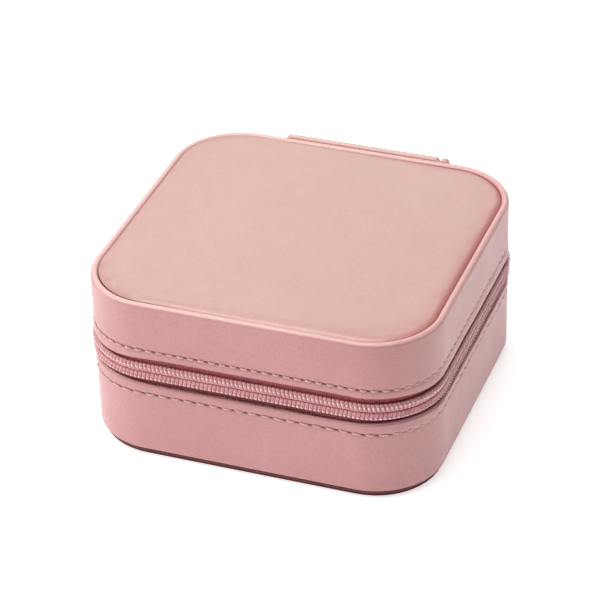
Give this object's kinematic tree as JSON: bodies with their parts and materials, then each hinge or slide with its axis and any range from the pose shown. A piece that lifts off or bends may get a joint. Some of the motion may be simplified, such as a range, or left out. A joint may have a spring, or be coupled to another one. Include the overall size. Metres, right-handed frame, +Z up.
{
  "type": "zipped travel jewellery case",
  "caption": "Small square travel jewellery case: two leather-covered halves with rounded corners, a leather hinge strip, a coil zip on three sides, and a lined interior.",
  "frame": {"origin": "centre of the underside, on the surface the case rests on", "axes": "+Z up, -Y towards the front side (opposite the hinge strip), +X to the right seen from the front"},
  "size_m": [0.1043, 0.0984, 0.0506],
  "materials": {
    "wall_leather": "satin, fine pebble grain",
    "top_leather": "satin, fine pebble grain",
    "sole_leather": "matt",
    "velvet": "short pile",
    "elastic": "ribbed weave",
    "zip_tape": "ribbed weave",
    "zip_coil": "gloss nylon",
    "rose_metal": "polished, rose plated",
    "board": "raw fibreboard",
    "foam": "open-cell foam"
  },
  "bodies": {
    "base": {"base_leather_band": "wall_leather", "hinge_strip_lower": "wall_leather", "sole_panel": "sole_leather", "base_floor_board": "board", "base_frame": "board", "base_lining": "velvet", "ring_partition": "velvet", "lower_zip_tape": "zip_tape", "lower_zip_coil": "zip_coil", "lower_top_stop": "rose_metal", "ring_roll_1": "velvet", "ring_roll_2": "velvet", "ring_roll_3": "velvet", "ring_roll_4": "velvet", "ring_roll_5": "velvet", "ring_roll_6": "velvet", "ring_roll_7": "velvet"},
    "lid": {"lid_leather_band": "wall_leather", "lid_pad_cover": "top_leather", "lid_pad_foam": "foam", "lid_top_board": "board", "lid_frame": "board", "lid_lining": "velvet", "lid_panel": "velvet", "pocket": "velvet", "pocket_elastic": "elastic", "upper_zip_tape": "zip_tape", "upper_zip_coil": "zip_coil", "upper_top_stop": "rose_metal", "hinge_strip_upper": "wall_leather", "strap_root_left": "wall_leather", "strap_root_centre": "wall_leather", "strap_root_right": "wall_leather", "snap_stud_left": "rose_metal", "snap_stud_centre": "rose_metal", "snap_stud_right": "rose_metal"},
    "slider": {"zip_slider": "rose_metal"},
    "puller": {"pull_tab": "rose_metal"},
    "divider": {"cross_divider": "velvet"},
    "left_strap": {"strap_left": "wall_leather", "snap_cap_left": "rose_metal"},
    "centre_strap": {"strap_centre": "wall_leather", "snap_cap_centre": "rose_metal"},
    "right_strap": {"strap_right": "wall_leather", "snap_cap_right": "rose_metal"}
  },
  "joints": [
    {"name": "lid_hinge", "type": "hinge", "parent": "base", "child": "lid", "pos_m": [0.002, 0.04935, 0.0286], "axis": [-1, 0, 0], "range_deg": [0, 105]},
    {"name": "slider_travel", "type": "slide", "parent": "base", "child": "slider", "axis": [0, -1, 0], "range_m": [0, 0.046]},
    {"name": "pull_tab_swing", "type": "hinge", "parent": "slider", "child": "puller", "pos_m": [-0.0524, 0.022, 0.0286], "axis": [0, 0, -1], "range_deg": [0, 170]},
    {"name": "divider_lift", "type": "slide", "parent": "base", "child": "divider", "axis": [0, 0, 1], "range_m": [0, 0.01]},
    {"name": "left_strap_fold", "type": "hinge", "parent": "lid", "child": "left_strap", "pos_m": [-0.026, -0.034, 0.0398], "axis": [-1, 0, 0], "range_deg": [0, 100]},
    {"name": "centre_strap_fold", "type": "hinge", "parent": "lid", "child": "centre_strap", "pos_m": [0, -0.034, 0.0398], "axis": [-1, 0, 0], "range_deg": [0, 100]},
    {"name": "right_strap_fold", "type": "hinge", "parent": "lid", "child": "right_strap", "pos_m": [0.026, -0.034, 0.0398], "axis": [-1, 0, 0], "range_deg": [0, 100]}
  ]
}
